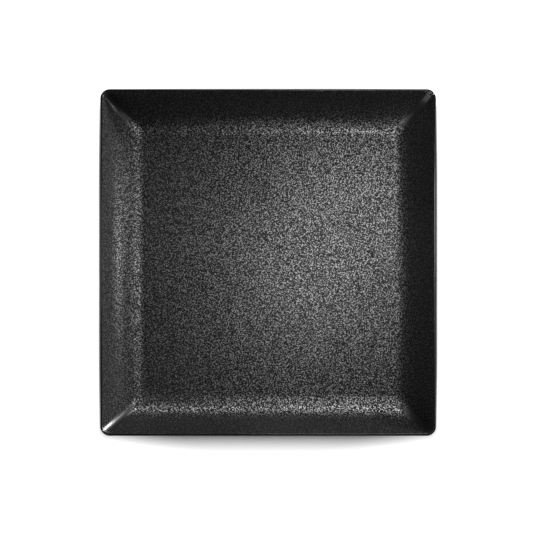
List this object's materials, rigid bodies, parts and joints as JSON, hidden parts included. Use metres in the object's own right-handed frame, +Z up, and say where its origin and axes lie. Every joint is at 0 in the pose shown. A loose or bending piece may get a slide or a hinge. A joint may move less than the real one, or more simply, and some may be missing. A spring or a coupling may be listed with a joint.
{
  "type": "square dinner plate",
  "caption": "Square dinner plate with curved-up walls, softly rounded corners, a thin rim and a low foot ring under the floor.",
  "frame": {"origin": "middle of the foot ring's tread, on the table", "axes": "+Z up out of the plate, +X to the diner's right, +Y away from the diner along the plate's longer side"},
  "size_m": [0.26, 0.271, 0.023],
  "materials": {
    "plate_body": "polished black melamine",
    "face_layer": "black melamine with a fine pebbled texture"
  },
  "bodies": {
    "root": {"plate_body": "plate_body", "face_layer": "face_layer"}
  },
  "joints": []
}
